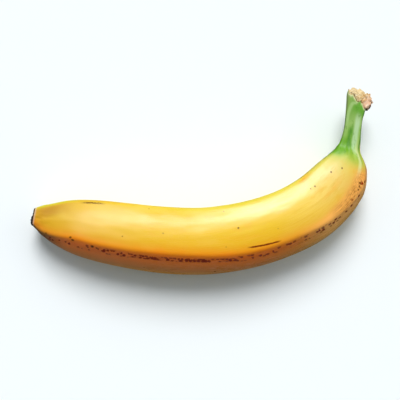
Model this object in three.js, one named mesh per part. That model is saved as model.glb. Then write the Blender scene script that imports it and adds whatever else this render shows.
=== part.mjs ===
// A single ripe banana, pulled from its bunch and lying on one of its flat sides.
// Millimetres, +Z up. +X runs from the blossom end to the stalk end, and +Y is the inside of the bend.
// The origin is the middle of the fruit's outline, on the surface that the fruit lies on.
//
// The fruit grew as one piece, so it is one solid: a five-sided section with rounded ridges,
// carried along a curved centreline from the blossom scar to the torn end of the stalk.

import * as THREE from "three";

// ---- Driving dimensions ---------------------------------------------------------------------

// The fruit seen from above: centreline x and y, half-width across the bend, and the heading
// of the centreline in degrees, turning from +X towards +Y.
const STATIONS = [
  [-93.2, -21.3, 5.4, -9], // blossom scar
  [-86.5, -23.0, 9.4, -13],
  [-76.1, -24.8, 13.5, -13],
  [-62.8, -27.3, 16.2, -11],
  [-42.3, -30.7, 17.7, -8],
  [-20.6, -33.4, 18.4, -4],
  [3.1, -34.0, 18.5, 1],
  [25.9, -30.8, 18.4, 9],
  [48.2, -23.6, 18.1, 22],
  [65.4, -13.8, 17.9, 37],
  [79.2, 0.3, 15.9, 50],
  [83.8, 10.3, 11.3, 60], // shoulder
  [83.9, 17.4, 6.7, 67],
  [85.0, 24.1, 5.4, 73], // stalk
  [86.2, 33.8, 5.0, 78],
  [88.1, 44.8, 5.6, 79], // torn end
];

// The five ridges, as angles round the section: 0 is up, and 90 is the inside of the bend.
const RIDGES = {
  tip: [-43, 58, 138, 203, 253],
  body: [-21, 63, 145, 213, 267],
  stalk: [-46, 56, 133, 198, 250],
};
const TIP_REACH = 28; // length over which the ridges turn from the tip's angles to the body's
const STALK_REACH = 110; // length over which they turn to the stalk's
const EDGE = 0.62; // how angular the section is: 0 is round, and 1 is a full pentagon
const ROUNDING = 10; // higher is a sharper ridge

const BED = 17.3; // height of the centreline over the surface, where the body rests
const TIP_DROP = 2.6; // the blossom end hangs this much lower
const STALK_RISE = 3.4; // the stalk stands this much higher

const SLANT = 0.67; // slope of the tear across the stalk, rise over width
const SLANT_REACH = 14; // length of stalk over which the sections lean into that slope

const RINGS = 70; // sections along the fruit
const PER_FACE = 7; // points along each of the five faces of a section

// Each end closes with smaller rings: share of the last section's size, and how far out they lie.
const SCAR_RINGS = [
  [0.96, 0.5],
  [0.84, 1.0],
  [0.66, 0.4],
  [0.35, 0.2],
];
const TORN_RINGS = [
  [1.03, 1.3],
  [1.0, 3.0],
  [0.86, 4.7],
  [0.58, 5.8],
  [0.24, 6.2],
];
const LUMPS = 0.13; // how uneven the outline of the torn tissue is

// ---- Centreline and section -----------------------------------------------------------------

const UP = new THREE.Vector3(0, 0, 1);
const radians = THREE.MathUtils.degToRad;
const ease = THREE.MathUtils.smoothstep;
const FACES = RIDGES.body.length;
const SIDES = FACES * PER_FACE;

// Distance of each station along the centreline.
const along = [0];
for (let i = 1; i < STATIONS.length; i++) {
  const [a, b] = [STATIONS[i - 1], STATIONS[i]];
  along.push(along[i - 1] + Math.hypot(b[0] - a[0], b[1] - a[1]));
}
const LENGTH = along.at(-1);

// The station values at distance s, on a smooth curve through the stations.
function station(s) {
  const last = STATIONS.length - 1;
  let i = 0;
  while (i < last - 1 && s > along[i + 1]) i++;
  const span = along[i + 1] - along[i];
  const t = (s - along[i]) / span;
  const slope = (j, k) => {
    const [before, after] = [Math.max(j - 1, 0), Math.min(j + 1, last)];
    return (STATIONS[after][k] - STATIONS[before][k]) / (along[after] - along[before]);
  };
  return STATIONS[i].map((from, k) => {
    const to = STATIONS[i + 1][k];
    const [leave, arrive] = [slope(i, k) * span, slope(i + 1, k) * span];
    return (
      from * (1 + 2 * t) * (1 - t) ** 2 +
      leave * t * (1 - t) ** 2 +
      to * t * t * (3 - 2 * t) +
      arrive * t * t * (t - 1)
    );
  });
}

// Height of the centreline at distance s.
function height(s) {
  const drop = TIP_DROP * (1 - ease(s, 0, 2 * TIP_REACH));
  const rise = STALK_RISE * ease(s, LENGTH - STALK_REACH / 2, LENGTH);
  return BED - drop + rise;
}

// Angles of the ridges at distance s, with the first one again after a full turn.
function ridges(s) {
  const tip = 1 - ease(s, 0, TIP_REACH);
  const stalk = ease(s, LENGTH - STALK_REACH, LENGTH - STALK_REACH / 5);
  const angles = RIDGES.body.map(
    (body, i) => body + (RIDGES.tip[i] - body) * tip + (RIDGES.stalk[i] - body) * stalk,
  );
  return [...angles, angles[0] + 360];
}

// Distance from the middle of a unit five-sided section to its edge.
function pentagon(angle, corners) {
  let sum = 0;
  for (let i = 0; i < FACES; i++) {
    const facing = Math.cos(radians(angle - (corners[i] + corners[i + 1]) / 2));
    const apothem = Math.cos(radians((corners[i + 1] - corners[i]) / 2));
    sum += Math.max(facing / apothem, 0) ** ROUNDING;
  }
  return sum ** (-1 / ROUNDING);
}

// The section at distance s, as a list of angle and reach for a half-width of 1. The angles
// are spread so that every ridge has a point on it.
function section(s) {
  const corners = ridges(s);
  const angles = [];
  for (let i = 0; i < FACES; i++) {
    for (let k = 0; k < PER_FACE; k++) {
      angles.push(THREE.MathUtils.lerp(corners[i], corners[i + 1], k / PER_FACE));
    }
  }
  const reaches = angles.map((angle) => pentagon(angle, corners));
  const mean = reaches.reduce((sum, reach) => sum + reach) / SIDES;
  return angles.map((angle, i) => [radians(angle), 1 - EDGE + (EDGE * reaches[i]) / mean]);
}

// Unit directions at a heading: along the fruit, and to the inside of the bend.
function axes(heading) {
  const forward = new THREE.Vector3(Math.cos(radians(heading)), Math.sin(radians(heading)), 0);
  return { forward, inside: new THREE.Vector3().crossVectors(UP, forward) };
}

// Points round the section at distance s.
function ring(s) {
  const [x, y, half, heading] = station(s);
  const { forward, inside } = axes(heading);
  const lean = SLANT * ease(s, LENGTH - SLANT_REACH, LENGTH);
  return section(s).map(([angle, reach]) => {
    const side = half * reach * Math.sin(angle);
    const rise = half * reach * Math.cos(angle);
    return new THREE.Vector3(x, y, height(s) + rise)
      .addScaledVector(forward, lean * side)
      .addScaledVector(inside, side);
  });
}

// ---- The two ends ---------------------------------------------------------------------------

const middle = (points) =>
  points.reduce((sum, p) => sum.add(p), new THREE.Vector3()).divideScalar(points.length);

// Smaller copies of an end ring, each moved out along the end's own direction.
function cap(points, out, rings, lumps) {
  const centre = middle(points);
  return rings.map(([size, past]) =>
    points.map((p, i) => {
      const wave = Math.sin((6 * Math.PI * i) / SIDES);
      const uneven = 1 + (lumps * wave * past) / rings.at(-1)[1];
      return p
        .clone()
        .sub(centre)
        .multiplyScalar(size * uneven)
        .add(centre)
        .addScaledVector(out, past);
    }),
  );
}

const headingAt = (s) => station(s).at(-1);

// The directions that the two ends face.
const scarFacing = axes(headingAt(0)).forward.negate();
const end = axes(headingAt(LENGTH));
const tornFacing = end.forward.clone().addScaledVector(end.inside, -SLANT).normalize();

// ---- The fruit ------------------------------------------------------------------------------

// A closed solid through a list of rings, with a point at the middle of each end.
function loft(rings) {
  const points = [...rings.flat(), middle(rings[0]), middle(rings.at(-1))];
  const [first, last] = [points.length - 2, points.length - 1];
  const end = (rings.length - 1) * SIDES;
  const faces = [];
  for (let i = 0; i < SIDES; i++) {
    const j = (i + 1) % SIDES;
    faces.push(first, i, j, last, end + j, end + i);
    for (let r = 0; r < end; r += SIDES) {
      faces.push(r + i, r + SIDES + i, r + SIDES + j, r + i, r + SIDES + j, r + j);
    }
  }
  return new THREE.BufferGeometry().setFromPoints(points).setIndex(faces);
}

function bananaGeometry() {
  const body = Array.from({ length: RINGS }, (_, n) => ring((n * LENGTH) / (RINGS - 1)));
  const scar = cap(body[0], scarFacing, SCAR_RINGS, 0).reverse();
  const torn = cap(body.at(-1), tornFacing, TORN_RINGS, LUMPS);
  const rings = [...scar, ...body, ...torn];
  // The peel gives where the fruit's weight rests on it, and is flat there.
  rings.flat().forEach((p) => (p.z = Math.max(p.z, 0)));
  const geometry = loft(rings);
  geometry.computeBoundingBox();
  const { min, max } = geometry.boundingBox;
  geometry.translate(-(min.x + max.x) / 2, -(min.y + max.y) / 2, 0);
  geometry.computeVertexNormals();
  return geometry;
}

const peel = new THREE.MeshStandardMaterial({ color: 0xf0c63e, roughness: 0.45, metalness: 0 });
const banana = new THREE.Mesh(bananaGeometry(), peel);
banana.name = "banana";

const fruit = new THREE.Group();
fruit.add(banana);

export default fruit;
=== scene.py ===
import math

import bpy
import numpy as np
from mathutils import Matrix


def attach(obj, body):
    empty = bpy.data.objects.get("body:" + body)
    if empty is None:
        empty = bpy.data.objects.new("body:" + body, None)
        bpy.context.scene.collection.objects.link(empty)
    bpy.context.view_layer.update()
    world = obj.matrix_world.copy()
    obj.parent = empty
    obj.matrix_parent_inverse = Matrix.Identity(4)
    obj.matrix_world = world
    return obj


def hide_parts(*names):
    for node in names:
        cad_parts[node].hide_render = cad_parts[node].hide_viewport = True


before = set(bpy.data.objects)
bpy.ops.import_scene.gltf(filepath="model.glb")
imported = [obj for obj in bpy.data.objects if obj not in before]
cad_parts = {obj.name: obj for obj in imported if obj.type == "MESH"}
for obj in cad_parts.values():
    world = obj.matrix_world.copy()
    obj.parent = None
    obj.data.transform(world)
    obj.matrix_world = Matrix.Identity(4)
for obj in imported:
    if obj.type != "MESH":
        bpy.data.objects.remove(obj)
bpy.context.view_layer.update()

MM = 0.001  # metres in a millimetre

# ---- Shape of the fruit, in millimetres: the CAD part's stations and ridges, with finer detail -

# Seen from above: centreline x and y, half-width across the bend, heading in degrees.
STATIONS = np.array([
    (-93.2, -21.3, 5.4, -9),  # blossom scar
    (-86.5, -23.0, 9.4, -13),
    (-76.1, -24.8, 13.5, -13),
    (-62.8, -27.3, 16.2, -11),
    (-42.3, -30.7, 17.7, -8),
    (-20.6, -33.4, 18.4, -4),
    (3.1, -34.0, 18.5, 1),
    (25.9, -30.8, 18.4, 9),
    (48.2, -23.6, 18.1, 22),
    (65.4, -13.8, 17.9, 37),
    (79.2, 0.3, 15.9, 50),
    (83.8, 10.3, 11.3, 60),  # shoulder
    (83.9, 17.4, 6.7, 67),
    (85.0, 24.1, 5.4, 73),  # stalk
    (86.2, 33.8, 5.0, 78),
    (88.1, 44.8, 5.6, 79),  # torn end
])
# The five ridges, as angles round the section: 0 is up, 90 is the inside of the bend.
TIP_RIDGES = np.array([-43, 58, 138, 203, 253])
BODY_RIDGES = np.array([-21, 63, 145, 213, 267])
STALK_RIDGES = np.array([-46, 56, 133, 198, 250])
TIP_REACH, STALK_REACH = 28.0, 110.0
# The main ridge hangs lower in two stretches: distance along, half length, degrees.
SAGS = ((124, 24, -8), (38, 25, -2.7))
EDGE = 0.62  # how angular the section is
ROUNDING = 10  # higher is a sharper ridge
BED = 17.3  # height of the centreline where the body rests
TIP_DROP, STALK_RISE = 2.6, 3.4
SLANT, SLANT_REACH, SHORT = 0.67, 14.0, 1.8  # of the tear: its slope, how far it bends the stalk, skin lost
CENTRE = (0.37, -0.86)  # middle of the CAD part's box, on the stations' axes

RING_SPACING = 0.52
PER_FACE = (40, 34, 30, 30, 34)  # points along each of the five faces of a section
UNDER = 3  # each ring of points starts at this ridge, on the underside
CREST, CREST_WIDTH = 0.28, 1.7  # how far a ridge line stands proud
SWELL, RIPPLE = 0.08, 0.03  # height of the long and the short undulations
SWELL_LENGTH, RIPPLE_LENGTH, FOLD_LENGTH = 34, 6, 3.2
HOLLOW = 0.15  # how far the stalk's faces sink between its ridges
PUCKER = 0.16  # folds where the flesh ends, at the neck and at the tip
NECK, TIP_FOLDS = 201.0, 3.0  # where those folds are deepest, along the fruit
FLARE, FLARE_REACH = 1.0, 16  # of the torn end, toward the inside of the bend
RAGGED, RAGGED_REACH = 0.75, 5  # unevenness of the torn edge of the skin
SCAR_RINGS, CROWN_RINGS = 30, 64
CROWN_HEIGHT, CROWN_BULGE, CROWN_LEAN = 6.4, 0.05, 0.28
CROWN_LUMPS = ((0.30, 4.6, 21), (0.24, 1.9, 22), (0.14, 0.9, 23))  # height, wavelength, seed
CROWN_FIBRES = 0.30
CROWN_CREASE = 0.9  # depth of the crease where the torn tissue leaves the skin
# Splinters of the torn tissue: angle round the stalk, how far in from the skin, height, width.
SPLINTERS = ((52, 0.42, 2.0, 0.5), (-20, 0.30, 1.0, 0.8), (-75, 0.36, 0.9, 0.7), (150, 0.5, 1.0, 0.9))
SCAR_RIM, SCAR_DISH, SCAR_STEP = 1.15, 0.9, 0.35
SCAR_LUMPS = ((0.16, 1.5, 31), (0.12, 0.7, 32))  # height, wavelength, seed
# Where the brown of the outer side begins, a brown that is partly the skin's own and partly painted shade:
# distance along, and how far above the main ridge.
BROWN_AND_SHADE_LINE = [(0, 0.6), (45, 0.3), (80, 0.4), (100, 0.6), (118, 0.6), (130, 0.5), (145, 0.6), (160, 1.2),
              (172, 3.2), (186, 4.5), (200, 1.5), (215, 0.0)]

steps = np.hypot(*np.diff(STATIONS[:, :2], axis=0).T)
ALONG = np.concatenate([[0.0], np.cumsum(steps)])
LENGTH = ALONG[-1]
AROUND = sum(PER_FACE)


def ease(x, low, high):
    """0 at low and 1 at high, smoothly; low may be above high."""
    t = np.clip((np.asarray(x, float) - low) / (high - low), 0, 1)
    return t * t * (3 - 2 * t)


def hump(x, centre, width):
    """1 at centre, falling off smoothly on both sides."""
    return np.exp(-((x - centre) / width) ** 2)


def apart(degrees, centre):
    """Angle from centre to degrees, between -180 and 180."""
    return (degrees - centre + 180) % 360 - 180


def ripples(points, wavelength, seed, stretch=1.0, waves=30):
    """A smooth seeded height, mostly between -1 and 1, at points; stretch lengthens it along the fruit."""
    rng = np.random.default_rng(seed)
    direction = rng.normal(size=(waves, 3))
    direction /= np.linalg.norm(direction, axis=1)[:, None]
    direction[:, 0] /= stretch
    pitch = wavelength * rng.uniform(0.65, 1.5, waves)
    phase = rng.uniform(0, 2 * math.pi, waves)
    return np.sin(points @ (direction / pitch[:, None]).T * 2 * math.pi + phase).sum(-1) / math.sqrt(waves)


def lumps(points, waves):
    """The sum of several ripples, each given as height, wavelength and seed."""
    return sum(height * ripples(points, wavelength, seed) for height, wavelength, seed in waves)


def stations(s):
    """Centreline x and y, half-width and heading at distances s, on a smooth curve."""
    last = len(ALONG) - 1
    i = np.clip(np.searchsorted(ALONG, s, side="right") - 1, 0, last - 1)
    span = ALONG[i + 1] - ALONG[i]
    t = ((s - ALONG[i]) / span)[:, None]

    def slope(j):
        before, after = np.maximum(j - 1, 0), np.minimum(j + 1, last)
        return (STATIONS[after] - STATIONS[before]) / (ALONG[after] - ALONG[before])[:, None]

    leave, arrive = slope(i) * span[:, None], slope(i + 1) * span[:, None]
    return (STATIONS[i] * (1 + 2 * t) * (1 - t) ** 2 + leave * t * (1 - t) ** 2
            + STATIONS[i + 1] * t * t * (3 - 2 * t) + arrive * t * t * (t - 1))


def ridges(s):
    """Angles of the ridges at distances s, with the first one again after a full turn."""
    tip = (1 - ease(s, 0, TIP_REACH))[:, None]
    stalk = ease(s, LENGTH - STALK_REACH, LENGTH - STALK_REACH / 5)[:, None]
    r = BODY_RIDGES + (TIP_RIDGES - BODY_RIDGES) * tip + (STALK_RIDGES - BODY_RIDGES) * stalk
    r[:, 0] += sum(degrees * hump(s, at, long) for at, long, degrees in SAGS)
    return np.column_stack([r, r[:, 0] + 360])


# ---- The skin ---------------------------------------------------------------------------------

start = -sum(PER_FACE[:UNDER])
face_of = np.roll(np.repeat(np.arange(5), PER_FACE), start)
share = np.roll(np.concatenate([np.arange(n) / n for n in PER_FACE]), start)
MAIN, UPPER = sum(PER_FACE[UNDER:]), sum(PER_FACE[UNDER:]) + PER_FACE[0]  # columns on those two ridges

s = np.linspace(0, LENGTH, int(LENGTH / RING_SPACING))
x, y, half, heading = stations(s).T[:, :, None]
turn = np.radians(heading)
ridge = ridges(s)
angle = ridge[:, face_of] + (ridge[:, face_of + 1] - ridge[:, face_of]) * share
theta = np.radians(angle)
tube = np.stack([s[:, None] + 0 * angle, half * np.cos(theta), half * np.sin(theta)], -1)

total = 0
for i in range(5):
    centre, spread = (ridge[:, i] + ridge[:, i + 1]) / 2, (ridge[:, i + 1] - ridge[:, i]) / 2
    facing = np.cos(np.radians(angle - centre[:, None])) / np.cos(np.radians(spread))[:, None]
    total = total + np.maximum(facing, 0) ** ROUNDING
pentagon = total ** (-1 / ROUNDING)
reach = half * (1 - EDGE + EDGE * pentagon / pentagon.mean(1, keepdims=True))

slim = half / STATIONS[:, 2].max()
on_stalk = ease(s, NECK - 6, NECK + 6)[:, None]
for i in range(5):
    off_ridge = np.radians(apart(angle, ridge[:, i, None])) * half
    reach = reach + CREST * slim ** 0.5 * hump(off_ridge, 0, CREST_WIDTH * slim ** 0.7)
reach = reach - HOLLOW * on_stalk * np.sin(math.pi * share) ** 2
folds = hump(s, NECK, 7) + hump(s, TIP_FOLDS, 6)
reach = reach + PUCKER * folds[:, None] * ripples(tube, FOLD_LENGTH, 5, stretch=7)
reach = reach + SWELL * slim * ripples(tube, SWELL_LENGTH, 1, stretch=1.6)
reach = reach + RIPPLE * ripples(tube, RIPPLE_LENGTH, 2, stretch=3)
flared = FLARE * ease(s, LENGTH - FLARE_REACH, LENGTH)[:, None]
reach = reach + flared * hump(apart(angle, 90), 0, 50)

side, rise = reach * np.sin(theta), reach * np.cos(theta)
lift = BED - TIP_DROP * (1 - ease(s, 0, 2 * TIP_REACH))
lift = lift + STALK_RISE * ease(s, LENGTH - STALK_REACH / 2, LENGTH)
torn_edge = RAGGED * (ripples(tube, 2.6, 8, stretch=40) + 0.5 * ripples(tube, 1.1, 9, stretch=40))
lean = (SLANT * side - SHORT) * ease(s, LENGTH - SLANT_REACH, LENGTH)[:, None]
lean = lean + torn_edge * ease(s, LENGTH - RAGGED_REACH, LENGTH)[:, None]
rings = np.stack([
    x + np.cos(turn) * lean - np.sin(turn) * side,
    y + np.sin(turn) * lean + np.cos(turn) * side,
    lift[:, None] + rise,
], -1)


# ---- The two ends -----------------------------------------------------------------------------

def outward(heading_degrees, slant=0.0):
    """The direction that an end faces, turned by its slant."""
    h = math.radians(heading_degrees)
    direction = np.array([math.cos(h) + slant * math.sin(h), math.sin(h) - slant * math.cos(h), 0])
    return direction / np.linalg.norm(direction)


def cap(ring, ring_tube, out, size, past, rough):
    """Rings that close an end: each is the last ring shrunk to a size and moved past it, roughened."""
    centre = ring.mean(0)
    flat = centre + (ring - centre) * size[:, None, None] + out * past[:, None, None]
    inner = ring_tube * size[:, None, None]
    inner[..., 0] = ring_tube[:, 0] + past[:, None] * np.sign(ring_tube[0, 0] - LENGTH / 2)
    return flat + rough(inner, flat - centre, out), inner


def crown_rough(at, spoke, out):
    """Lumps, fibres and a few splinters of the torn tissue."""
    t = np.linspace(0, 1, CROWN_RINGS)[:, None]
    inside = ease(t, 0.02, 0.2)
    fibres = CROWN_FIBRES * ripples(at, 1.1, 24, stretch=7)
    depth = (lumps(at, CROWN_LUMPS) + fibres) * inside - CROWN_CREASE * hump(t, 0.045, 0.03)
    splinters = 0
    for about, where, tall, wide in SPLINTERS:
        near = hump(apart(np.degrees(theta[-1]), about), 0, 15 * wide) * hump(t, where, 0.07)
        splinters = splinters + tall * near
    length = np.linalg.norm(spoke, axis=-1, keepdims=True)
    tilt = -CROWN_LEAN * at[..., 2] * ease(t, 0.0, 0.35)
    return spoke / np.maximum(length, 0.5) * depth[..., None] + out * (splinters + tilt)[..., None]


def scar_rough(at, spoke, out):
    """The dry, uneven remains of the flower."""
    t = np.linspace(0, 1, SCAR_RINGS)[:, None]
    inside = ease(t, 0.05, 0.35)
    step = SCAR_STEP * np.tanh(-at[..., 2] / 0.8)
    return out * ((lumps(at, SCAR_LUMPS) + step) * inside)[..., None]


t = np.linspace(0, 1, CROWN_RINGS)
arc = t * math.pi / 2
crown_size = np.cos(arc) ** 0.45 * (1 + CROWN_BULGE * np.sin(2 * arc))
crown_size[-1] = 0.02
crown, crown_tube = cap(rings[-1], tube[-1], outward(STATIONS[-1, 3], SLANT), crown_size,
                        CROWN_HEIGHT * np.sin(arc) ** 1.1, crown_rough)
t = np.linspace(0, 1, SCAR_RINGS)
scar, scar_tube = cap(rings[0], tube[0], -outward(STATIONS[0, 3]), 1 - 0.98 * t ** 1.2,
                      SCAR_RIM * ease(t, 0, 0.22) - SCAR_DISH * ease(t, 0.25, 0.75), scar_rough)
crown, crown_tube, scar, scar_tube = crown[1:], crown_tube[1:], scar[:0:-1], scar_tube[:0:-1]

grid = np.concatenate([scar, rings, crown])
grid_tube = np.concatenate([scar_tube, tube, crown_tube])
grid[..., 2] = np.maximum(grid[..., 2], 0)  # the flat patch that it rests on
grid[..., :2] -= CENTRE

# ---- What the paint reads: where each point is on the skin ------------------------------------

closed = np.concatenate([grid, grid[:, :1]], 1)
around = np.cumsum(np.linalg.norm(np.diff(closed, axis=1), axis=2), axis=1)
around = np.concatenate([0 * around[:, :1], around], 1)
along = np.concatenate([scar_tube[..., 0], tube[..., 0], crown_tube[..., 0]])
along = np.concatenate([along, along[:, :1]], 1)
from_upper = around - around[:, UPPER, None]
from_line = around - around[:, MAIN, None] - np.interp(along, *np.array(BROWN_AND_SHADE_LINE).T)

last_rings = len(scar) + len(rings)  # rows up to the end of the skin
torn = np.zeros(grid.shape[:2])
torn[last_rings:] = ease(np.linspace(0, 1, CROWN_RINGS)[1:, None], 0.0, 0.05)
dry = np.zeros(grid.shape[:2])
dry[:len(scar)] = ease(np.linspace(0, 1, SCAR_RINGS)[:0:-1, None], 0.0, 0.06)
all_angles = np.concatenate([np.repeat(angle[:1], len(scar), 0), angle, np.repeat(angle[-1:], len(crown), 0)])
# The green of the stalk runs down the inside of the bend and the main ridge, and stops short outside.
green = grid_tube[..., 0] + 9 * hump(apart(all_angles, 88), 0, 40) + 2.5 * hump(apart(all_angles, -44), 0, 14)
green = green + 1.5 * ripples(grid_tube, 8, 41, stretch=2)
green = green - 12 * hump(apart(all_angles, -92), 0, 42) * ease(green, 212, 200)

# ---- Mesh -------------------------------------------------------------------------------------

rows = len(grid)
column = np.arange(AROUND)
following = (column + 1) % AROUND
row = np.arange(rows - 1)[:, None] * AROUND
beyond = row + AROUND
quads = np.stack([row + column, beyond + column, beyond + following, row + following], -1).reshape(-1, 4)
first, last = rows * AROUND, rows * AROUND + 1
start_fan = np.stack([np.full(AROUND, first), column, following], 1)
end_fan = np.stack([np.full(AROUND, last), row[-1] + AROUND + following, row[-1] + AROUND + column], 1)


def with_middles(field):
    """A value for each vertex: the grid row by row, then the middle of each end."""
    field = field.reshape(rows, AROUND, -1)
    return np.concatenate([field.reshape(rows * AROUND, -1), field[0].mean(0)[None], field[-1].mean(0)[None]])


mesh = bpy.data.meshes.new("banana_fruit")
faces = quads.tolist() + start_fan.tolist() + end_fan.tolist()
mesh.from_pydata((with_middles(grid) * MM).tolist(), [], faces)
mesh.update()
mesh.shade_smooth()


def quad_corners(field):
    """A field with a closing column, spread over the corners of the quads."""
    return np.stack([field[:-1, :-1], field[1:, :-1], field[1:, 1:], field[:-1, 1:]], -1).reshape(-1)


def fan_corners(rim, towards):
    """The same for one end's fan, whose faces run along the rim or, with towards -1, against it."""
    pair = (rim[:-1], rim[1:])[::towards]
    return np.stack([np.full(AROUND, rim[:-1].mean()), *pair], -1).reshape(-1)


def corner_values(field):
    """The same for the whole mesh, in the order of its faces."""
    return np.concatenate([quad_corners(field), fan_corners(field[0], 1), fan_corners(field[-1], -1)])


def add_attribute(name, domain, values):
    data = mesh.attributes.new(name, "FLOAT_VECTOR", domain).data
    data.foreach_set("vector", np.ascontiguousarray(values, np.float32).ravel())


add_attribute("skin", "CORNER", np.stack([corner_values(f) for f in (along, from_line, from_upper)], -1))
add_attribute("tube", "POINT", with_middles(grid_tube))
add_attribute("ends", "POINT", with_middles(np.stack([torn, dry, green], -1)))

# The bake's map: the skin as one strip, and a disc for each end.
STRIP_TOP, DISC, MARGIN = 0.76, 0.108, 0.006
DISC_CENTRES = (0.12, 0.36)
DISC_HOLE = 0.002  # smallest radius, so that no face shrinks to nothing
on_skin = np.clip((np.arange(rows) - len(scar)) / (len(rings) - 1), 0, 1)[:, None]
u = MARGIN + (1 - 2 * MARGIN) * on_skin + np.zeros((1, AROUND + 1))
v = MARGIN + (STRIP_TOP - 2 * MARGIN) * np.linspace(0, 1, AROUND + 1)[None] + np.zeros((rows, 1))
u_corner, v_corner = corner_values(u), corner_values(v)

spin = np.linspace(0, 2 * math.pi, AROUND + 1)[None]
per_row, fan_size = 4 * AROUND, 3 * AROUND
scar_fan = (rows - 1) * per_row
crown_fan = scar_fan + fan_size
for start_row, radius, centre_u, fan_start, rim_row, towards in (
    (0, np.linspace(0, DISC, len(scar) + 1), DISC_CENTRES[0], scar_fan, 0, 1),
    (last_rings - 1, np.linspace(DISC, 0, len(crown) + 1), DISC_CENTRES[1], crown_fan, -1, -1),
):
    radius = np.maximum(radius, DISC_HOLE)[:, None]
    ring_span = slice(start_row * per_row, (start_row + len(radius) - 1) * per_row)
    fan_span = slice(fan_start, fan_start + fan_size)
    disc_u = centre_u + radius * np.cos(spin)
    disc_v = 1 - DISC - 2 * MARGIN + radius * np.sin(spin)
    for target, field in ((u_corner, disc_u), (v_corner, disc_v)):
        target[ring_span] = quad_corners(field)
        target[fan_span] = fan_corners(field[rim_row], towards)
bake_map = mesh.uv_layers.new(name="OFBake")
bake_map.uv.foreach_set("vector", np.stack([u_corner, v_corner], -1).astype(np.float32).ravel())

fruit = bpy.data.objects.new("banana_fruit", mesh)
bpy.context.scene.collection.objects.link(fruit)
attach(fruit, "root")
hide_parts("banana")


# ---- Paint ------------------------------------------------------------------------------------

class Paint:
    """Short calls that add shader nodes to one material and return their output sockets."""

    def __init__(self, material):
        material.use_nodes = True
        self.tree = material.node_tree
        self.shader = self.tree.nodes.get("Principled BSDF")

    def node(self, kind, **settings):
        made = self.tree.nodes.new(kind)
        for name, value in settings.items():
            setattr(made, name, value)
        return made

    def feed(self, socket, value):
        if isinstance(value, bpy.types.NodeSocket):
            self.tree.links.new(value, socket)
        else:
            socket.default_value = value

    def attribute(self, name):
        return self.node("ShaderNodeAttribute", attribute_name=name).outputs["Vector"]

    def split(self, vector):
        made = self.node("ShaderNodeSeparateXYZ")
        self.feed(made.inputs[0], vector)
        return tuple(made.outputs)

    def join(self, *values):
        made = self.node("ShaderNodeCombineXYZ")
        for socket, value in zip(made.inputs, values):
            self.feed(socket, value)
        return made.outputs[0]

    def scaled(self, vector, *factors):
        made = self.node("ShaderNodeVectorMath", operation="MULTIPLY")
        self.feed(made.inputs[0], vector)
        made.inputs[1].default_value = factors
        return made.outputs[0]

    def math(self, operation, *values):
        made = self.node("ShaderNodeMath", operation=operation)
        for socket, value in zip(made.inputs, values):
            self.feed(socket, value)
        return made.outputs[0]

    def add(self, *values):
        result = values[0]
        for value in values[1:]:
            result = self.math("ADD", result, value)
        return result

    def times(self, *values):
        result = values[0]
        for value in values[1:]:
            result = self.math("MULTIPLY", result, value)
        return result

    def fade(self, value, low, high):
        """0 at low and 1 at high, smoothly; low may be above high."""
        made = self.node("ShaderNodeMapRange", interpolation_type="SMOOTHSTEP")
        self.feed(made.inputs["Value"], value)
        self.feed(made.inputs["From Min"], low)
        self.feed(made.inputs["From Max"], high)
        return made.outputs["Result"]

    def near(self, value, centre, core, edge):
        """1 within core of centre, 0 beyond edge."""
        return self.fade(self.math("ABSOLUTE", self.math("SUBTRACT", value, centre)), edge, core)

    def noise(self, vector, detail, roughness=0.5):
        made = self.node("ShaderNodeTexNoise")
        self.feed(made.inputs["Vector"], vector)
        made.inputs["Scale"].default_value = 1
        made.inputs["Detail"].default_value = detail
        made.inputs["Roughness"].default_value = roughness
        return made.outputs[0]

    def cells(self, vector, dimensions="2D"):
        """Distance to the nearest of some scattered points, and three random numbers for that point."""
        made = self.node("ShaderNodeTexVoronoi", voronoi_dimensions=dimensions)
        self.feed(made.inputs["Vector"], vector)
        made.inputs["Scale"].default_value = 1
        return made.outputs["Distance"], self.split(made.outputs["Color"])

    def mix(self, below, above, amount):
        made = self.node("ShaderNodeMix", data_type="RGBA")
        self.feed(made.inputs[0], amount)
        self.feed(made.inputs[6], below if isinstance(below, bpy.types.NodeSocket) else (*below, 1))
        self.feed(made.inputs[7], above if isinstance(above, bpy.types.NodeSocket) else (*above, 1))
        return made.outputs[2]

    def blend(self, below, above, amount):
        made = self.node("ShaderNodeMix", data_type="FLOAT")
        for socket, value in zip((made.inputs[0], made.inputs[2], made.inputs[3]), (amount, below, above)):
            self.feed(socket, value)
        return made.outputs[0]

    def ramp(self, value, stops):
        """Colour and alpha from stops of (value, (red, green, blue[, alpha])), in rising order."""
        low, high = stops[0][0], stops[-1][0]
        spread = self.node("ShaderNodeMapRange")
        self.feed(spread.inputs["Value"], value)
        spread.inputs["From Min"].default_value = low
        spread.inputs["From Max"].default_value = high
        made = self.node("ShaderNodeValToRGB")
        self.feed(made.inputs[0], spread.outputs["Result"])
        elements = made.color_ramp.elements
        elements[0].position, elements[1].position = 0, 1
        while len(elements) < len(stops):
            elements.new(0.5)
        for element, (at, colour) in zip(elements, stops):
            element.position = (at - low) / (high - low)
            element.color = (*colour, 1) if len(colour) == 3 else colour
        return made.outputs[0], made.outputs[1]


# Colours are linear. Along the fruit, in millimetres from the blossom end.
LENGTHWISE = [
    (0, (0.52, 0.29, 0.010)),
    (12, (0.59, 0.34, 0.008)),
    (40, (0.67, 0.42, 0.016)),
    (90, (0.72, 0.445, 0.016)),
    (135, (0.74, 0.47, 0.022)),
    (160, (0.81, 0.56, 0.09)),
    (181, (0.77, 0.56, 0.15)),
    (190, (0.60, 0.50, 0.10)),
    (195, (0.42, 0.48, 0.06)),
    (200, (0.18, 0.40, 0.02)),
    (208, (0.19, 0.40, 0.04)),
    (217, (0.28, 0.46, 0.11)),
    (226, (0.19, 0.38, 0.06)),
    (232, (0.28, 0.40, 0.10)),
]
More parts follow.
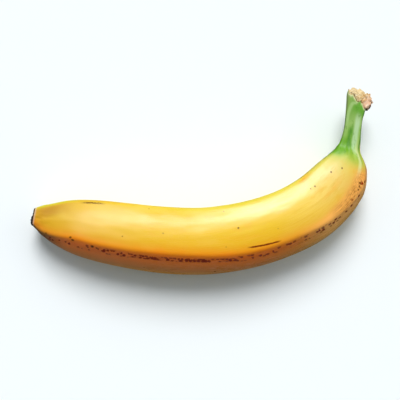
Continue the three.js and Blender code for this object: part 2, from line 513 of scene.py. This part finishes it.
# Away from the main ridge, in millimetres, negative on the outer side; the last number is strength. The
# orange-brown there is partly the skin's own browning and partly painted shade and painted warm bounce light
# on the side turned from the lamps.
OUTER_BROWN_AND_SHADE = [
    (-44, (0.62, 0.40, 0.04, 0.0)),
    (-30, (0.60, 0.31, 0.04, 0.8)),
    (-17, (0.56, 0.20, 0.045, 1.0)),
    (-9, (0.78, 0.19, 0.018, 1.0)),
    (-4, (0.88, 0.175, 0.005, 1.0)),
    (-1.5, (0.82, 0.20, 0.004, 0.97)),
    (0.5, (0.78, 0.25, 0.006, 0.88)),
    (2.5, (0.72, 0.29, 0.008, 0.75)),
    (5, (0.70, 0.35, 0.01, 0.6)),
    (12, (0.71, 0.40, 0.012, 0.0)),
]
# Share of the possible flecks that are there, along the fruit.
FLECKED = [
    (0, 0.0), (8, 0.35), (30, 0.4), (48, 0.65), (62, 0.9), (113, 0.9), (117, 0.2),
    (130, 0.25), (138, 0.5), (160, 0.6), (168, 0.45), (187, 0.45), (191, 0.0),
]

# Skin of the body.
SUNNY_YELLOW = (0.76, 0.53, 0.08)
DEEP_YELLOW = (0.68, 0.38, 0.02)
PATCHY_YELLOW = (0.74, 0.40, 0.03)
FRESH_YELLOW = (0.62, 0.57, 0.05)
ORANGE = (0.78, 0.36, 0.02)
SHOULDER_TAN = (0.92, 0.44, 0.10)
TIP_BROWN = (0.46, 0.215, 0.01)
TIP_LIME = (0.58, 0.60, 0.02)
TIP_SHADE = (0.17, 0.10, 0.015)
# Stalk.
HIGHLIGHT_GREEN = (0.62, 0.68, 0.30)
LIME = (0.12, 0.33, 0.006)
COLLAR_GREEN = (0.11, 0.36, 0.02)
FACET_HIGHLIGHT_GREEN = (0.50, 0.68, 0.40)
FACET_HIGHLIGHT_YELLOW = (0.48, 0.68, 0.28)
GROOVE_GREEN = (0.06, 0.24, 0.01)
SMUDGE_GREEN = (0.06, 0.21, 0.012)
EDGE_GREEN = (0.05, 0.16, 0.012)
LIP_HIGHLIGHT = (0.66, 0.66, 0.36)
# Blemishes.
HALO_RED = (0.50, 0.085, 0.006)
FLECK_RED = (0.24, 0.02, 0.0)
SCRATCH_RED = (0.17, 0.02, 0.0)
SHADE_BROWN = (0.42, 0.18, 0.02)
STREAK_BROWN = (0.34, 0.10, 0.01)
SPECK_BROWN = (0.30, 0.14, 0.01)
SCUFF_BROWN = (0.09, 0.02, 0.0)
SPOT_BROWN = (0.12, 0.035, 0.0)
# The two ends.
TISSUE_TAN = (0.66, 0.50, 0.26)
TISSUE_ROSE = (0.76, 0.46, 0.30)
TISSUE_OCHRE = (0.50, 0.27, 0.06)
FIBRE_CREAM = (0.88, 0.80, 0.60)
FIBRE_SHADE = (0.16, 0.08, 0.03)
HUSK_BLACK = (0.03, 0.015, 0.01)
RIM_PINK = (0.60, 0.45, 0.36)
SCAR_BLACK = (0.016, 0.010, 0.014)
SCAR_BROWN = (0.09, 0.05, 0.04)
# Orange patches: distance along, distance from the main ridge, half length, half width, tilt, strength.
ORANGE_PATCHES = (
    (174, 9, 12, 2.0, 0.02, 0.6),
    (166, 25.5, 9, 3.2, 0.0, 1.0),
    (118, 8, 18, 2.5, 0.05, 0.35),
)
# Single spots: distance along, distance from the main ridge, radius, strength.
SPOTS = (
    (181, 15.4, 0.8, 0.95),
    (187, 10.4, 0.7, 0.9),
    (168, 17.7, 0.8, 0.8),
    (165, 18.5, 0.6, 0.7),
    (116, 13.6, 0.8, 1.0),
    (52, 6.3, 0.6, 0.6),
    (74, 10.5, 0.6, 0.55),
    (102, -17.5, 0.9, 0.7),
    (196.8, 17.4, 1.1, 0.9),
    (24.0, -0.3, 0.9, 0.9),
    (25.4, -1.8, 1.1, 1.0),
    (9.5, -0.6, 0.9, 0.8),
    (36.5, -2.9, 1.3, 1.0),
    (39, -3.4, 0.9, 0.9),
    (34, -4.4, 0.9, 0.8),
    (186.4, -2.4, 0.8, 0.9),
    (185, -2.7, 0.8, 0.9),
    (183.4, -3.0, 0.7, 0.9),
)
FLECK_PITCH_ALONG, FLECK_PITCH_ACROSS = 0.52, 0.42  # flecks in a millimetre, at most
CHAIN_OFFSET = -4.9  # of the chain of flecks from the main ridge
SKIN_ROUGHNESS = 0.27
BLEMISH_ROUGHNESS = 0.24
TORN_ROUGHNESS = 0.85
RELIEF_DEPTH = 0.12  # millimetres

peel = bpy.data.materials.new("banana_peel")
p = Paint(peel)
length_mm, line_mm, upper_mm = p.split(p.attribute("skin"))
torn_mask, dry_mask, green_mm = p.split(p.attribute("ends"))
tube_mm = p.attribute("tube")

broad = p.noise(p.scaled(tube_mm, 0.035, 0.06, 0.06), 2)
patchy = p.noise(p.scaled(tube_mm, 0.12, 0.2, 0.2), 3)
streaks = p.noise(p.scaled(tube_mm, 0.035, 0.75, 0.75), 3, 0.6)
fine = p.noise(p.scaled(tube_mm, 0.18, 2.4, 2.4), 3, 0.65)
grain = p.noise(p.scaled(tube_mm, 1.6, 2.6, 2.6), 3, 0.6)

on_body = p.fade(green_mm, 197, 187)
on_green = p.fade(green_mm, 193, 200)
colour, _ = p.ramp(green_mm, LENGTHWISE)
colour = p.mix(colour, SUNNY_YELLOW, p.times(p.fade(broad, 0.5, 0.72), on_body, 0.5))
colour = p.mix(colour, DEEP_YELLOW, p.times(p.fade(streaks, 0.52, 0.74), on_body, 0.45))
colour = p.mix(colour, PATCHY_YELLOW, p.times(p.fade(patchy, 0.56, 0.72), on_body, 0.4))
# The inside of the bend is a fresher, greener yellow.
inner = p.times(p.fade(upper_mm, -7, 0), p.fade(upper_mm, 34, 16), on_body)
colour = p.mix(colour, FRESH_YELLOW, p.times(inner, p.fade(length_mm, 25, 110), 0.62))
# Blossom end: a greenish line along the upper ridge over a darker brown patch, partly the skin's own browning
# and partly painted shade of a facet turned from the light.
blossom = p.fade(length_mm, 24, 6)
colour = p.mix(colour, TIP_BROWN, p.times(blossom, p.near(upper_mm, -4.8, 1.2, 5), 0.85))
colour = p.mix(colour, TIP_LIME, p.times(p.fade(length_mm, 30, 12), p.near(upper_mm, 1.0, 0.6, 3), 0.8))

# Outer side, from the main ridge down: the skin's own browning mixed with painted shade and painted warm
# bounce light.
wavy = p.add(line_mm, p.times(p.math("SUBTRACT", patchy, 0.5), 2.4))
outer, outer_amount = p.ramp(wavy, OUTER_BROWN_AND_SHADE)
paler_end = p.blend(1, 0.62, p.fade(length_mm, 120, 170))
colour = p.mix(colour, outer, p.times(outer_amount, paler_end, p.fade(green_mm, 199, 188)))
# Painted shade: a dark olive brown on the underside below the main ridge at the blossom end.
tip_underside_shade = p.times(blossom, p.fade(line_mm, 2.0, -2.5), p.fade(line_mm, -26, -16))
colour = p.mix(colour, TIP_SHADE, p.times(tip_underside_shade, 0.95))

# Orange patches and streaks on the top.
for at, off, long, wide, tilt, strength in ORANGE_PATCHES:
    here = p.math("SUBTRACT", length_mm, at)
    there = p.add(line_mm, -off, p.times(here, tilt))
    patch = p.times(p.fade(p.math("ABSOLUTE", here), long, 0), p.fade(p.math("ABSOLUTE", there), wide, 0))
    colour = p.mix(colour, ORANGE, p.times(patch, strength, p.fade(fine, 0.25, 0.6)))

# A painted highlight: a pale line along the lit crest of the main ridge where it runs onto the stalk.
ridge_highlight = p.times(p.near(line_mm, 0.4, 0.3, 1.6), p.fade(length_mm, 184, 193), p.fade(length_mm, 213, 200))
colour = p.mix(colour, HIGHLIGHT_GREEN, p.times(ridge_highlight, 0.6))
# The stalk: pale facets, which are painted highlights on its lit ridges, vivid green at both ends, smudges
# and fine lines.
smudge = p.noise(p.scaled(tube_mm, 0.22, 0.5, 0.5), 3)
lime = p.times(p.near(length_mm, 199, 4, 9), p.fade(line_mm, 3.0, 6.5), on_green)
colour = p.mix(colour, LIME, p.times(lime, 0.9))
collar = p.times(p.fade(length_mm, 219, 225), p.fade(line_mm, 8, 5.5))
colour = p.mix(colour, COLLAR_GREEN, p.times(collar, 0.75))
facet_highlight = p.times(p.near(line_mm, 2.2, 0.6, 2.2), p.fade(length_mm, 196, 203), p.fade(length_mm, 225, 215))
colour = p.mix(colour, FACET_HIGHLIGHT_GREEN, p.times(facet_highlight, 0.7, p.fade(streaks, 0.25, 0.5)))
facet_highlight = p.times(p.near(line_mm, 8.2, 0.3, 1.5), p.fade(length_mm, 211, 217), on_green)
colour = p.mix(colour, FACET_HIGHLIGHT_YELLOW, p.times(facet_highlight, 0.45))
groove = p.times(p.near(line_mm, 5.2, 0.4, 2.0), p.near(length_mm, 207, 3, 8))
colour = p.mix(colour, GROOVE_GREEN, p.times(groove, p.fade(smudge, 0.25, 0.5), 0.85))
colour = p.mix(colour, SMUDGE_GREEN, p.times(p.fade(smudge, 0.57, 0.7), on_green, 0.5))
colour = p.mix(colour, EDGE_GREEN, p.times(p.near(line_mm, -0.8, 0.2, 0.9), on_green, 0.5))

# Freckles: a chain of flecks under the main ridge, and a few small ones elsewhere.
density, _ = p.ramp(length_mm, [(at, (amount,) * 3) for at, amount in FLECKED])
chain = p.near(line_mm, CHAIN_OFFSET, 1.0, p.blend(3.6, 2.2, p.math("GREATER_THAN", density, 0.8)))
warp = p.times(p.math("SUBTRACT", p.noise(p.scaled(tube_mm, 0.9, 0.9, 0.9), 3, 0.6), 0.5), 0.9)
places = p.join(p.times(length_mm, FLECK_PITCH_ALONG), p.times(line_mm, FLECK_PITCH_ACROSS), 0)
gap, (chance, bulk, _) = p.cells(places)
fleck = p.times(p.fade(p.add(gap, warp), p.blend(0.40, 0.66, bulk), p.blend(0.24, 0.46, bulk)),
                p.math("LESS_THAN", chance, density), chain)
halo = p.times(chain, density, p.fade(patchy, 0.35, 0.6))
colour = p.mix(colour, HALO_RED, p.times(halo, 0.6))
# The shoulder: a dull tan, a brown shade along its ridge, and short streaks.
dull = p.times(p.near(length_mm, 177, 12, 34), p.fade(line_mm, 3.5, -0.5))
dull = p.times(dull, p.fade(line_mm, -22, -12), p.fade(green_mm, 194, 184))
colour = p.mix(colour, SHOULDER_TAN, p.times(dull, 0.85))
shade = p.times(p.near(length_mm, 178, 8, 16), p.near(line_mm, -1.0, 1.0, 4.5), p.fade(fine, 0.3, 0.6))
colour = p.mix(colour, SHADE_BROWN, p.times(shade, 0.6))
lines = p.times(p.near(length_mm, 181, 6, 16), p.near(line_mm, -3.5, 1.5, 5), p.fade(fine, 0.50, 0.62))
colour = p.mix(colour, STREAK_BROWN, p.times(lines, 0.75))
colour = p.mix(colour, FLECK_RED, fleck)
gap, (chance, bulk, _) = p.cells(p.scaled(tube_mm, 0.14, 0.16, 0.16), "3D")
speck = p.times(p.fade(gap, p.blend(0.06, 0.10, bulk), 0.02), p.math("LESS_THAN", chance, 0.3), on_body)
colour = p.mix(colour, SPECK_BROWN, p.times(speck, 0.7))


def scratch(first_mm, last_mm, across_mm, drift, wide):
    """A thin line along the fruit from first to last, drifting sideways."""
    progress = p.math("SUBTRACT", length_mm, first_mm)
    line = p.add(line_mm, -across_mm, p.times(progress, -drift), p.times(warp, 0.7))
    begins, ends = p.fade(length_mm, first_mm - 1, first_mm + 3), p.fade(length_mm, last_mm + 1, last_mm - 2)
    return p.times(p.fade(p.math("ABSOLUTE", line), wide, wide * 0.35), begins, ends)


cut = scratch(119.5, 136.5, 2.1, -0.07, 0.62)
colour = p.mix(colour, SCRATCH_RED, cut)
scuff = p.times(p.near(upper_mm, -1.9, 0.2, 0.9), p.near(length_mm, 32, 3, 8), p.fade(grain, 0.35, 0.55))
colour = p.mix(colour, SCUFF_BROWN, scuff)

spots = p.math("MAXIMUM", scuff, speck)
for at, off, size, strength in SPOTS:
    spread = p.node("ShaderNodeVectorMath", operation="DISTANCE")
    p.feed(spread.inputs[0], p.join(length_mm, line_mm, 0))
    spread.inputs[1].default_value = (at, off, 0)
    spot = p.fade(p.add(spread.outputs["Value"], warp), size, size * 0.35)
    colour = p.mix(colour, SPOT_BROWN, p.times(spot, strength))
    spots = p.math("MAXIMUM", spots, spot)
blemish = p.math("MAXIMUM", p.math("MAXIMUM", fleck, cut), spots)

# Torn end of the stalk.
pulp = p.noise(p.scaled(tube_mm, 0.35, 0.5, 0.5), 4, 0.6)
threads = p.noise(p.scaled(tube_mm, 0.25, 2.2, 2.2), 4, 0.7)
_, _, across_mm = p.split(tube_mm)
rosy = p.fade(p.add(across_mm, p.times(p.math("SUBTRACT", pulp, 0.5), 8)), 0.5, -3.5)
tissue = p.mix(TISSUE_TAN, TISSUE_ROSE, rosy)
tissue = p.mix(tissue, TISSUE_OCHRE, p.times(p.fade(pulp, 0.56, 0.42), p.near(across_mm, -1, 1, 4), 0.8))
tissue = p.mix(tissue, FIBRE_CREAM, p.times(p.fade(threads, 0.52, 0.68), 0.8))
tissue = p.mix(tissue, FIBRE_SHADE, p.times(p.fade(threads, 0.44, 0.32), 0.8))
husk = p.times(p.fade(across_mm, -3.6, -5.2), p.fade(pulp, 0.40, 0.50))
tissue = p.mix(tissue, HUSK_BLACK, husk)
# A painted highlight: a pale cream line along the torn lip of the skin.
lip_highlight = p.times(p.fade(length_mm, 227.6, 229), p.fade(patchy, 0.3, 0.5))
colour = p.mix(colour, LIP_HIGHLIGHT, p.times(lip_highlight, 0.7))
colour = p.mix(colour, tissue, torn_mask)

# Blossom scar, with a pale rim of skin.
rim = p.times(p.fade(length_mm, 1.0, 0.4), p.math("SUBTRACT", 1, dry_mask))
colour = p.mix(colour, RIM_PINK, p.times(rim, 0.55))
crust = p.mix(SCAR_BLACK, SCAR_BROWN, p.fade(grain, 0.5, 0.75))
colour = p.mix(colour, crust, dry_mask)

p.feed(p.shader.inputs["Base Color"], colour)

uneven = p.add(p.times(p.math("SUBTRACT", fine, 0.5), 0.14), p.times(p.math("SUBTRACT", broad, 0.5), 0.12))
rough = p.add(SKIN_ROUGHNESS, uneven)
rough = p.blend(rough, TORN_ROUGHNESS, p.math("MAXIMUM", torn_mask, dry_mask))
# The sheen is softer at the neck and toward the blossom end.
rough = p.add(rough, p.times(p.fade(green_mm, 176, 194), 0.2), p.times(p.fade(length_mm, 70, 40), 0.12))
rough = p.blend(rough, BLEMISH_ROUGHNESS, blemish)
p.feed(p.shader.inputs["Roughness"], rough)

relief = p.add(p.times(fine, 0.3), p.times(grain, 0.12), p.times(p.math("MAXIMUM", fleck, cut), -0.15))
relief = p.blend(relief, p.add(p.times(threads, 2.2), grain), torn_mask)
relief = p.blend(relief, p.times(grain, 2.5), dry_mask)
p.shader.inputs["Specular IOR Level"].default_value = 0.35
bump = p.node("ShaderNodeBump")
bump.inputs["Strength"].default_value = 0.55
bump.inputs["Distance"].default_value = RELIEF_DEPTH * MM
p.feed(bump.inputs["Height"], relief)
p.feed(p.shader.inputs["Normal"], bump.outputs[0])
mesh.materials.append(peel)


# ---- Stage ------------------------------------------------------------------------------------

FLOOR_REACH, FLOOR_DROP = 3.0, 0.0002  # metres from the middle, and below the fruit
# Soft lights: name, elevation, azimuth, spread in degrees, strength.
LIGHTS = (
    ("key", 50, 0, 28, 2.6),
    ("key right", 47, 16, 40, 0.75),
    ("low right", 36, 70, 40, 0.3),
    ("low left", 40, -55, 40, 0.2),
)
# A wide window in three panes, seen only as the sheen on the skin: elevation, azimuth, strength.
PANES = ((37, -8, 1.5), (43, -22, 1.25), (52, -40, 0.35))
PANE_SPREAD = 15


def add_floor():
    """A plain pale floor under the fruit, left out of the sheen."""
    corners = [(x, y, -FLOOR_DROP) for x, y in ((-1, -1), (1, -1), (1, 1), (-1, 1))]
    me = bpy.data.meshes.new("floor")
    me.from_pydata([(x * FLOOR_REACH, y * FLOOR_REACH, z) for x, y, z in corners], [], [(0, 1, 2, 3)])
    o = bpy.data.objects.new("floor", me)
    bpy.context.scene.collection.objects.link(o)
    m = bpy.data.materials.new("floor")
    m.use_nodes = True
    shader = m.node_tree.nodes["Principled BSDF"]
    shader.inputs["Base Color"].default_value = (0.84, 0.88, 0.90, 1)
    shader.inputs["Roughness"].default_value = 0.8
    me.materials.append(m)
    o.visible_glossy = False


def sun(name, elevation, azimuth, spread, strength):
    """A far soft light. Azimuth 0 shines from +Y towards -Y, and positive from the +X side."""
    data = bpy.data.lights.new(name, "SUN")
    data.angle = math.radians(spread)
    data.energy = strength
    o = bpy.data.objects.new(name, data)
    o.rotation_euler = (math.radians(elevation - 90), 0, math.radians(-azimuth))
    bpy.context.scene.collection.objects.link(o)
    return o


add_floor()
for name, elevation, azimuth, spread, strength in LIGHTS:
    sun(name, elevation, azimuth, spread, strength).visible_glossy = False
for pane, (elevation, azimuth, strength) in enumerate(PANES):
    sun(f"window {pane + 1}", elevation, azimuth, PANE_SPREAD, strength).visible_diffuse = False

# A pale room: it lights softly, is dimmer in the sheen, and is near white behind the fruit.
world = bpy.data.worlds.new("world")
scene = bpy.context.scene
scene.world = world
world.use_nodes = True
w = Paint(world)
seen = w.node("ShaderNodeLightPath").outputs
room = w.tree.nodes["Background"].inputs
w.feed(room["Color"], w.mix((0.86, 0.97, 1.0), (0.93, 0.96, 0.97), seen["Is Camera Ray"]))
dimmed = w.blend(0.25, 0.05, seen["Is Glossy Ray"])
w.feed(room["Strength"], w.add(dimmed, w.times(seen["Is Camera Ray"], 0.76)))

scene.view_settings.view_transform = "Standard"
cam = bpy.data.cameras.new("camera")
cam.lens = 85
cam.sensor_width = 36
camera = bpy.data.objects.new("camera", cam)
camera.location = (-0.00028, -0.01098, 0.549)
bpy.context.scene.collection.objects.link(camera)
scene.camera = camera
